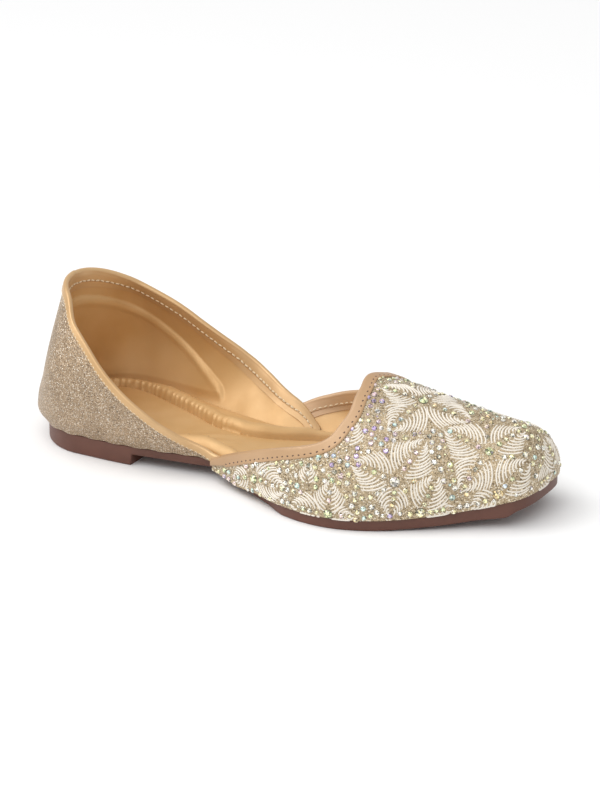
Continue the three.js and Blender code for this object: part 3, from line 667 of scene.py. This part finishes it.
def squared_to_edge(skin, normals):
    """Rows laid squarely down from the topline over the cloth; at the tips they turn along the ribs."""
    top = skin[:, -1]
    tangent = np.gradient(top, axis=0)
    rows, outs = [], []
    for i, spot in enumerate(top):
        out = normals[i, -1]
        rib = skin[i, -10] - spot
        square = np.cross(tangent[i], out)
        square *= np.sign(square @ rib) / np.linalg.norm(square)
        heading = lerp(rib / np.linalg.norm(rib), square, ease(min(i, len(top) - 1 - i), 0, TIP_STATIONS))
        row, row_out = [spot], [out]
        for _ in range(STRIP_STEPS):
            heading = heading - out * (heading @ out)
            heading /= np.linalg.norm(heading)
            hit, _, face, _ = surface.find_nearest(Vector(spot + heading * STRIP_REACH / STRIP_STEPS))
            spot, out = np.array(hit), normals[divmod(face, skin.shape[1] - 1)]
            row.append(spot)
            row_out.append(out)
        rows.append(row[::-1])
        outs.append(row_out[::-1])
    return np.array(rows), np.array(outs)


strip, strip_out = squared_to_edge(vamp, vamp_out)
binding_tan = pearl_leather("binding_tan_leather", (0.45, 0.27, 0.138), (0.52, 0.325, 0.172),
                            (0.34, 0.46), 0.12, 0.08)
vamp_binding = piece("vamp_binding_strip", *binding_body(strip, strip_out, 4.1, 4.6, 7.4, 0.65, tip=1.2),
                     binding_tan, "binding_leather", sharp=60)
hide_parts("vamp_binding")

# Stitches: pale thread through both bindings, with dark beads of painted shade for the sunk needle holes
# outside on the vamp's strip and between the stitches inside the collar.
# They follow the strips' edges at an even pitch.


def scatter(template, faces, places, frames, scales):
    """Copies of a template at places; frames hold the along, across and up directions of each copy."""
    points = np.einsum("tk,nk,nkj->ntj", template, scales, frames) + places[:, None]
    count = len(template)
    copies = (faces[None] + (np.arange(len(places)) * count)[:, None, None]).reshape(-1, faces.shape[1])
    return points.reshape(-1, 3), copies


def bead(segments=8, rings=5):
    """Low rounded bead of unit half axes, as points and quads."""
    around = np.linspace(0, 2 * math.pi, segments, endpoint=False)
    up = np.linspace(-math.pi / 2, math.pi / 2, rings + 2)
    up[0] += 0.12
    up[-1] -= 0.12
    points = [(math.cos(b) * math.cos(a), math.cos(b) * math.sin(a), math.sin(b))
              for b in up for a in around]
    faces = []
    for row in range(rings + 1):
        for k in range(segments):
            following = (k + 1) % segments
            faces.append((row * segments + k, row * segments + following,
                          (row + 1) * segments + following, (row + 1) * segments + k))
    return np.array(points), np.array(faces)


def stitch_row(name, skin, normals, depth, lift, pitch, size, material, slot, shift=0.0):
    line, outs = down_from_edge(skin, normals, np.array([depth]))
    line, outs = line[:, 0] + outs[:, 0] * lift, outs[:, 0] * (1 if lift > 0 else -1)
    lengths = length_along(line)
    stops = np.arange(pitch * (1 + shift), lengths[-1] - pitch, pitch)
    slant = np.where(np.arange(len(stops)) % 2, 0.2, -0.2)[:, None]
    read = lambda values: np.stack([np.interp(stops, lengths, values[:, k]) for k in range(3)], -1)
    place, up = read(line), read(outs)
    along = np.stack([np.interp(stops + 0.3, lengths, line[:, k]) for k in range(3)], -1) - place
    along /= np.linalg.norm(along, axis=1, keepdims=True)
    up -= along * (up * along).sum(1, keepdims=True)
    up /= np.linalg.norm(up, axis=1, keepdims=True)
    across = np.cross(up, along)
    frames = np.stack([along + across * slant, across - along * slant, up], 1)
    template, faces = bead()
    points, copies = scatter(template, faces, place, frames, np.tile(size, (len(place), 1)))
    return piece(name, points, copies, material, slot, sharp=80)


# builds the thread materials, and also the painted-shade materials of the needle holes
def thread(name, dark, light, rough=0.55, strand=(2200, 3), pale_from=0.75, relief=(0.35, 0.00012), sheen=0.25):
    material, tree, shader, where = new_material(name)
    fine = noise(tree, where, *strand)
    paint(tree, shader, "Base Color", fine, [(0.25, dark), (pale_from, light)])
    tree.links.new(bump(tree, fine, *relief), shader.inputs["Normal"])
    fill(shader, Roughness=rough, Sheen_Weight=sheen)
    return material


pale_thread = thread("pale_gold_thread", (0.60, 0.45, 0.27), (0.86, 0.72, 0.50))
# painted shade: dark brown beads stand for the shade inside the needle holes on the vamp's strip
painted_hole_shade_brown = thread("needle_hole_painted_shade_brown", (0.045, 0.02, 0.012), (0.10, 0.05, 0.03), 0.8)
# painted shade: golden brown beads stand for the shade in the needle holes between the collar's inside stitches
painted_hole_shade_gold = thread("needle_hole_painted_shade_gold", (0.24, 0.13, 0.05), (0.36, 0.21, 0.10), 0.8)
# Depth below the edge, height over the wall, pitch and half sizes of one stitch or hole, all in mm
stitch_row("collar_stitches_outside", collar, collar_out, 2.3, 0.6, 2.1, (0.7, 0.24, 0.16),
           pale_thread, "collar_leather")
stitch_row("collar_stitches_inside", collar, collar_out, 4.3, -(WALL + 0.5), 2.5, (1.0, 0.42, 0.32),
           pale_thread, "collar_leather")
# dark beads of painted shade between the inside stitches
stitch_row("collar_needle_hole_painted_shade", collar, collar_out, 4.3, -(WALL + 0.52), 2.5, (0.3, 0.26, 0.14),
           painted_hole_shade_gold, "collar_leather", 0.5)
wide = rib_lengths > 9.5
# dark beads of painted shade for the sunk needle holes
stitch_row("vamp_needle_hole_painted_shade", strip[wide], strip_out[wide], 2.7, 0.72, 2.9, (0.6, 0.36, 0.12),
           painted_hole_shade_brown, "binding_leather")
stitch_row("vamp_stitches_inside", strip[wide], strip_out[wide], 3.7, -(WALL + 0.65), 2.5, (0.9, 0.32, 0.22),
           pale_thread, "binding_leather")

# Thread fans: ivory satin-stitch petals worked in raised parallel ribs on the vamp cloth.
# Each petal opens from a large stone; its ribs leave a bare spine and end on its two outer sides.
# Each row is a petal's base and corner as (side, rib, level), and whether the other side has it too.
PETALS = [
    ((-1, 0.958, 0.82), (-1, 0.95, 0.96), False), ((-1, 0.958, 0.82), (1, 0.867, 0.80), False),
    ((-1, 0.958, 0.82), (-1, 0.758, 0.82), False), ((-1, 0.958, 0.82), (-1, 0.95, 0.62), False),
    ((-1, 0.885, 0.45), (-1, 0.883, 0.70), True), ((-1, 0.892, 0.45), (-1, 0.992, 0.35), True),
    ((-1, 0.883, 0.45), (-1, 0.742, 0.17), True), ((-1, 0.833, 0.10), (-1, 0.933, 0.20), True),
    ((-1, 0.833, 0.07), (-1, 0.76, 0.02), True), ((1, 0.958, 0.03), (1, 0.983, 0.25), False),
    ((-1, 0.933, 0.03), (1, 0.983, 0.05), False), ((-1, 0.608, 0.38), (-1, 0.55, 0.65), True),
    ((-1, 0.617, 0.40), (-1, 0.81, 0.68), True), ((-1, 0.608, 0.35), (-1, 0.567, 0.02), True),
    ((-1, 0.642, 0.03), (-1, 0.725, 0.40), True), ((-1, 0.645, 0.03), (-1, 0.725, 0.04), True),
    ((-1, 0.417, 0.02), (-1, 0.45, 0.42), True), ((-1, 0.417, 0.02), (-1, 0.308, 0.07), True),
    ((-1, 0.417, 0.02), (-1, 0.485, 0.03), True), ((-1, 0.20, 0.62), (-1, 0.308, 0.25), True),
    ((-1, 0.175, 0.5), (-1, 0.09, 0.35), True), ((-1, 0.217, 0.60), (-1, 0.317, 0.72), True),
    ((-1, 0.375, 0.36), (-1, 0.433, 0.68), True), ((-1, 0.62, 0.86), (-1, 0.76, 0.97), True),
]
RIB_PITCH, RIB_WIDTH, RIB_RAISE = 1.45, 0.42, 0.42

topline = KDTree(len(vamp))
for number, place in enumerate(vamp[:, -1].tolist()):
    topline.insert(place, number)
topline.balance()
from_top = np.array([[topline.find(place)[2] for place in row] for row in vamp.tolist()])
from_foot = np.concatenate([np.zeros((len(vamp), 1)),
                            np.cumsum(np.linalg.norm(np.diff(vamp, axis=1), axis=-1), axis=1)], 1)
# Bare widths along the topline and the sole, and how far off the cloth a point may lie
EDGE_KEEP, FOOT_KEEP, REACH = 4.6, 0.7, 2.4


def settle(points):
    """Nearest places on the vamp's outside, their normals, and which of them lie on the open cloth."""
    places, normals, good = [], [], []
    for point in points:
        hit, _, face, distance = surface.find_nearest(Vector(point))
        row, column = divmod(face, vamp.shape[1] - 1)
        clear = from_top[row, column] > EDGE_KEEP and from_foot[row, column + 1] > FOOT_KEEP
        places.append(hit)
        normals.append(vamp_out[row, column])
        good.append(clear and distance < REACH)
    return np.array(places), np.array(normals), np.array(good)


def on_vamp(spot):
    side, rib, level = spot
    return vamp_point(rib, side, level)[0]


def petal_frame(base, corner):
    start, end = on_vamp(base), on_vamp(corner)
    spine = end - start
    length = np.linalg.norm(spine)
    _, normals, _ = settle([(start + end) / 2])
    spine /= length
    up = normals[0] - spine * (normals[0] @ spine)
    up /= np.linalg.norm(up)
    across = np.cross(up, spine)
    root = math.sqrt(0.5)
    return start, (spine + across) * root, (spine - across) * root, up, length * root


petals = []
for base, corner, paired in PETALS:
    petals.append(petal_frame(base, corner))
    if paired:
        petals.append(petal_frame(*((-side, rib, level) for side, rib, level in (base, corner))))

draw = np.random.default_rng(11)


def covered(points, order):
    """Which points lie on a petal worked before this one."""
    hidden = np.zeros(len(points), bool)
    for start, ex, ey, up, side_length in petals[:order]:
        away = (points - start) / side_length
        a, b = away @ ex, away @ ey
        hidden |= (a > -0.02) & (b > -0.02) & (a < 1.03) & (b < 1.03) & (np.abs(away @ up) < 0.45)
    return hidden


def petal_ribs(order):
    """Centre lines of one petal's ribs, as a list of arrays of places and normals."""
    start, ex, ey, up, side_length = petals[order]
    lines = []
    count = max(round(side_length / RIB_PITCH), 3)
    part = np.linspace(0, 1, 13)
    for first, second in ((ex, ey), (ey, ex)):
        for k in range(count):
            origin = 0.93 * (k + 0.1) / count + draw.uniform(-0.01, 0.01)
            begin = max(origin + 0.17 * (1 - origin**3), 0.24) + draw.uniform(-0.02, 0.02)
            finish = 1 + draw.uniform(-0.03, 0.02)
            if finish - begin < 0.1:
                continue
            run = begin + (finish - begin) * part
            bulge = 0.30 * (1 - 0.5 * origin) * part * (1 - part)
            bowed = origin - bulge + (0.10 + 0.02 * origin) * part**1.5
            flat = start + side_length * (bowed[:, None] * first + run[:, None] * second)
            places, normals, good = settle(flat)
            good &= ~covered(flat, order)
            if good.sum() < 4:
                continue
            lines.append((places[good], normals[good]))
    return lines


def satin_ribs():
    profile = np.linspace(0, math.pi, 5)
    points, faces = [], []
    offset = 0
    for order in range(len(petals)):
        for places, normals in petal_ribs(order):
            along = np.gradient(places, axis=0)
            along /= np.linalg.norm(along, axis=1, keepdims=True) + 1e-9
            across = np.cross(normals, along)
            taper = np.sin(np.linspace(0.12, 0.93, len(places)) * math.pi) ** 0.4
            for place, normal, wide_way, size in zip(places, normals, across, taper):
                for angle in profile:
                    rise = math.sin(angle) * RIB_RAISE - 0.08
                    sideways = wide_way * math.cos(angle) * RIB_WIDTH
                    points.append(place + sideways * size + normal * rise * size)
            n, m = len(places), len(profile)
            body = grid_faces(n, m, offset)
            i = np.arange(n * m).reshape(n, m) + offset
            under = np.stack([i[1:, 0], i[:-1, 0], i[:-1, -1], i[1:, -1]], -1)
            ends = [(i[0, 0], i[0, 1], i[0, 3], i[0, 4]), (i[0, 1], i[0, 2], i[0, 3], i[0, 3]),
                    (i[-1, 4], i[-1, 3], i[-1, 1], i[-1, 0]), (i[-1, 3], i[-1, 2], i[-1, 1], i[-1, 1])]
            faces += body.tolist() + under.tolist() + [tuple(dict.fromkeys(end)) for end in ends]
            offset += n * m
    return points, faces


ivory_thread = thread("ivory_satin_thread", (0.68, 0.61, 0.50), (0.92, 0.87, 0.79), 0.42, (3000, 2), 0.7,
                      (0.5, 0.00015), 0.3)
piece("satin_thread_fans", *satin_ribs(), ivory_thread, "upper_fabric", sharp=70)

# Stones: flat-backed faceted glass with a thin colour-shifting film, glued on by hand.
# Large ones sit where petals meet, small ones line the petals' spines and fill the curved bands between.
WHITE, STRAW, LIME = (0.98, 0.94, 0.86), (0.97, 0.87, 0.48), (0.78, 0.86, 0.46)
AQUA, PINK, VIOLET = (0.62, 0.86, 0.80), (0.95, 0.70, 0.72), (0.55, 0.40, 0.74)
SKY, AMBER, SMOKE = (0.60, 0.74, 0.90), (0.95, 0.70, 0.35), (0.22, 0.20, 0.15)
TINTS = np.array([WHITE, STRAW, LIME, AQUA, PINK, VIOLET, SKY, AMBER, SMOKE])
# Chances of the nine TINTS colours in the open bands, near the throat and at the toe
COMMON = np.array([0.35, 0.24, 0.13, 0.06, 0.10, 0.02, 0.00, 0.06, 0.04])
COOL = np.array([0.32, 0.10, 0.03, 0.07, 0.24, 0.16, 0.02, 0.03, 0.03])
WARM = np.array([0.38, 0.28, 0.14, 0.05, 0.02, 0.01, 0.01, 0.08, 0.03])


def inside_petal(point, margin=0.03):
    for start, ex, ey, up, side_length in petals:
        away = point - start
        if abs(away @ up) > 6:
            continue
        a, b = away @ ex / side_length, away @ ey / side_length
        if -0.08 < a < 1 + margin and -0.08 < b < 1 + margin and a + b > 0.28 and abs(a - b) > 0.06:
            return True
    return False


def bare_ground(point):
    """The plain cloth close round a flower's stone, and a few quiet places between the fans."""
    close = min(np.linalg.norm(point - start) for start, _, _, _, _ in petals)
    quiet = math.sin(point[0] * 0.37 + 1.3) * math.sin(point[1] * 0.29 + point[2] * 0.2)
    return close < 4.2 or quiet > 0.72


# Stones set so far, and the same ones by cells that are wider than any two stones need
stones, cells = [], {}
CELL = 5.6


def add_stone(point, radius, palette, gap=0.3):
    """Set a stone unless its place is off the open cloth or too near another stone."""
    places, normals, good = settle([point])
    if not good[0]:
        return
    cell = tuple(np.floor(places[0] / CELL).astype(int))
    near = [other for step in np.ndindex(3, 3, 3) for other in cells.get(tuple(np.add(cell, step) - 1), ())]
    if any(np.sum((places[0] - other[0]) ** 2) < (radius + other[2] + gap) ** 2 for other in near):
        return
    stones.append((places[0], normals[0], radius, palette))
    cells.setdefault(cell, []).append(stones[-1])


def palette_at(spot):
    x, y, z = spot
    if 160 < x < 196 and y < -12 and z > 27:
        return COOL
    if x > 222:
        return WARM
    return COMMON


for centre, radius in (((-1, 0.958, 0.82), 2.0), ((-1, 0.608, 0.37), 2.1), ((-1, 0.888, 0.45), 1.8),
                       ((-1, 0.833, 0.09), 2.2), ((-1, 0.642, 0.035), 2.1), ((-1, 0.417, 0.03), 1.9),
                       ((-1, 0.20, 0.55), 1.9)):
    for side in (-1, 1):
        if side > 0 and centre[1] > 0.95:
            continue
        spot = (side, centre[1], centre[2])
        add_stone(on_vamp(spot), radius, COMMON)

for start, ex, ey, up, side_length in petals:
    for t in (0.24, 0.44, 0.64) if side_length > 9 else (0.5,):
        spot = start + side_length * (t + draw.uniform(-0.03, 0.03)) * (ex + ey)
        add_stone(spot, draw.uniform(0.95, 1.15), palette_at(spot))

for size, tries, gap in ((1.2, 7000, 0.55), (0.72, 2200, 0.5)):
    for _ in range(tries):
        spot = on_vamp((draw.choice([-1, 1]), draw.random(), draw.random() ** 0.8))
        if not inside_petal(spot, 0.06) and not bare_ground(spot):
            add_stone(spot, size * draw.uniform(0.85, 1.12), palette_at(spot), gap)

for side in (-1, 1):
    for rib in np.arange(0.06, 1.0, 0.045):
        spot = on_vamp((side, rib + draw.uniform(-0.01, 0.01), 0.035))
        add_stone(spot, draw.uniform(0.8, 1.05), COMMON, 0.3)

for _ in range(350):
    spot = on_vamp((draw.choice([-1, 1]), draw.random(), draw.random() ** 0.8))
    if not inside_petal(spot, 0.0):
        add_stone(spot, draw.uniform(0.36, 0.5), palette_at(spot), 0.6)


def cut_stone(sides):
    """Flat-backed cut: girdle, crown and table facets, as points and triangles, and a painted light for each
    triangle; radius 1, height about half.
    """
    turn = np.arange(sides) * 2 * math.pi / sides
    rings = [(1.14, -0.12, 0.0), (1.0, 0.12, 0.0), (0.62, 0.5, 0.5)]
    points = [(0, 0, -0.12)]
    for radius, z, twist in rings:
        angle = turn + twist * 2 * math.pi / sides
        points += [(radius * math.cos(a), radius * math.sin(a), z) for a in angle]
    points.append((0, 0, 0.54))
    low, girdle, table, top = 1, 1 + sides, 1 + 2 * sides, 1 + 3 * sides
    faces = []
    for k in range(sides):
        j = (k + 1) % sides
        faces += [(0, low + j, low + k), (low + k, low + j, girdle + j), (low + k, girdle + j, girdle + k),
                  (girdle + k, girdle + j, table + k), (girdle + j, table + j, table + k),
                  (table + k, table + j, top)]
    # painted light for each facet: painted shade on the back and girdle facets, painted highlights on the crown
    # and table
    painted_facet_light = np.tile([0.08, 0.08, 0.14, 1.0, 0.72, 1.2], sides)
    return np.array(points), np.array(faces), painted_facet_light


def faceted_glass():
    material, tree, shader, where = new_material("faceted_glass")
    # the colour attribute holds each stone's tint times its painted facet light and shade
    tint_and_painted_light = node(tree, "ShaderNodeAttribute", attribute_name="tint_and_painted_light")
    tree.links.new(tint_and_painted_light.outputs["Color"], shader.inputs["Base Color"])
    haze = noise(tree, where, 700, 2)
    paint(tree, shader, "Roughness", haze, [(0.3, 0.06), (0.8, 0.16)])
    fill(shader, Metallic=0.35, Coat_Weight=0.9, Coat_Roughness=0.03)
    return material


def stone_body(rows, sides):
    template, faces, painted_facet_light = cut_stone(sides)
    places = np.array([row[0] for row in rows])
    ups = np.array([row[1] for row in rows])
    radii = np.array([row[2] for row in rows])
    spin = draw.uniform(0, 2 * math.pi, len(rows))
    helper = np.where(np.abs(ups[:, 2:]) < 0.9, [[0, 0, 1.0]], [[1.0, 0, 0]])
    first = np.cross(helper, ups)
    first /= np.linalg.norm(first, axis=1, keepdims=True)
    second = np.cross(ups, first)
    along = first * np.cos(spin)[:, None] + second * np.sin(spin)[:, None]
    frames = np.stack([along, np.cross(ups, along), ups], 1)
    points, copies = scatter(template, faces, places, frames, np.repeat(radii[:, None], 3, 1))
    tints_and_painted_light = np.concatenate([stone_tints_and_painted_light(row[3], len(faces)) * painted_facet_light[:, None] for row in rows])
    return points, copies, tints_and_painted_light


def stone_tints_and_painted_light(palette, count):
    main = TINTS[draw.choice(len(TINTS), p=palette)]
    others = TINTS[draw.choice(len(TINTS), size=count, p=palette)]
    share = draw.uniform(0, 1, (count, 1)) ** 1.5 * 0.85
    # painted light: about three facets in ten get painted shade, the rest stay near full brightness
    painted_facet_brightness = np.where(draw.random((count, 1)) < 0.3, draw.uniform(0.12, 0.4, (count, 1)),
                   draw.uniform(0.9, 1.1, (count, 1)))
    return np.clip(main * (1 - share) + others * share, 0, 1) * painted_facet_brightness


glass = faceted_glass()
# Name, smallest and largest radius, and how many sides the cut has
KINDS = (("large_stones", 1.8, 9, 12), ("small_stones", 0.6, 1.8, 8), ("seed_stones", 0, 0.6, 6))
for name, low, high, sides in KINDS:
    rows = [row for row in stones if low <= row[2] < high]
    points, copies, tints_and_painted_light = stone_body(rows, sides)
    made = piece(name, points, copies, glass, "upper_fabric", sharp=5)
    # one colour per corner: the stone's tint with the painted facet light and shade
    layer = made.data.color_attributes.new("tint_and_painted_light", "FLOAT_COLOR", "CORNER")
    layer.data.foreach_set("color", np.repeat(np.column_stack([tints_and_painted_light, np.ones(len(tints_and_painted_light))]), 3, 0).ravel())

# Studio: a plain pale floor, soft daylight from all round and two large lamps, high on the left and in front.
# The camera keeps the photograph's angle to the shoe.
floor_mesh = bpy.data.meshes.new("floor")
floor_mesh.from_pydata([(-6, -6, 0), (6, -6, 0), (6, 6, 0), (-6, 6, 0)], [], [(0, 1, 2, 3)])
floor = put("floor", floor_mesh)
paper, _, paper_shader, _ = new_material("white_paper")
fill(paper_shader, Base_Color=(0.93, 0.93, 0.93, 1), Roughness=0.9, Specular_IOR_Level=0.1)
floor_mesh.materials.append(paper)
floor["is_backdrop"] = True

world = bpy.data.worlds.new("studio")
bpy.context.scene.world = world
world.use_nodes = True
world.node_tree.nodes["Background"].inputs["Color"].default_value = (1, 1, 1, 1)
world.node_tree.nodes["Background"].inputs["Strength"].default_value = 0.66


def softbox(name, place, aim, size, power):
    lamp = bpy.data.lights.new(name, "AREA")
    lamp.shape = "RECTANGLE"
    lamp.size, lamp.size_y = size
    lamp.energy = power
    made = put(name, lamp)
    made.location = place
    made.rotation_euler = (Vector(aim) - Vector(place)).to_track_quat("-Z", "Y").to_euler()


softbox("key", (-0.55, -0.35, 1.0), (0, 0, 0.02), (0.6, 0.6), 2.6)
softbox("front", (0.3, -0.75, 0.8), (0, 0, 0.03), (0.9, 0.4), 2.6)
sun = bpy.data.lights.new("daylight", "SUN")
sun.energy = 1.1
sun.angle = math.radians(65)
daylight = put("daylight", sun)
daylight.rotation_euler = Vector((-0.42, -0.3, 0.86)).to_track_quat("Z", "Y").to_euler()

AZIMUTH, ELEVATION, DISTANCE, FOCAL_PX = math.radians(29.13), math.radians(21.28), 1390.5, 3215.0
back = Vector((math.sin(AZIMUTH) * math.cos(ELEVATION), -math.cos(AZIMUTH) * math.cos(ELEVATION),
               math.sin(ELEVATION)))
right = Vector((math.cos(AZIMUTH), math.sin(AZIMUTH), 0))
above = back.cross(right)
aim = Vector(PLACE) + Vector((127.4, 0, 26)) + right * -3.515 + above * 6.916
lens = bpy.data.cameras.new("camera")
lens.sensor_width = 36
lens.lens = FOCAL_PX * 36 / 800
lens.clip_start, lens.clip_end = 0.05, 20
camera = put("camera", lens)
turned = Matrix((right, above, back)).transposed().to_4x4()
turned.translation = (aim + back * DISTANCE) * MM
camera.matrix_world = turned
bpy.context.scene.camera = camera
bpy.context.scene.view_settings.view_transform = "Standard"

low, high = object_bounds()
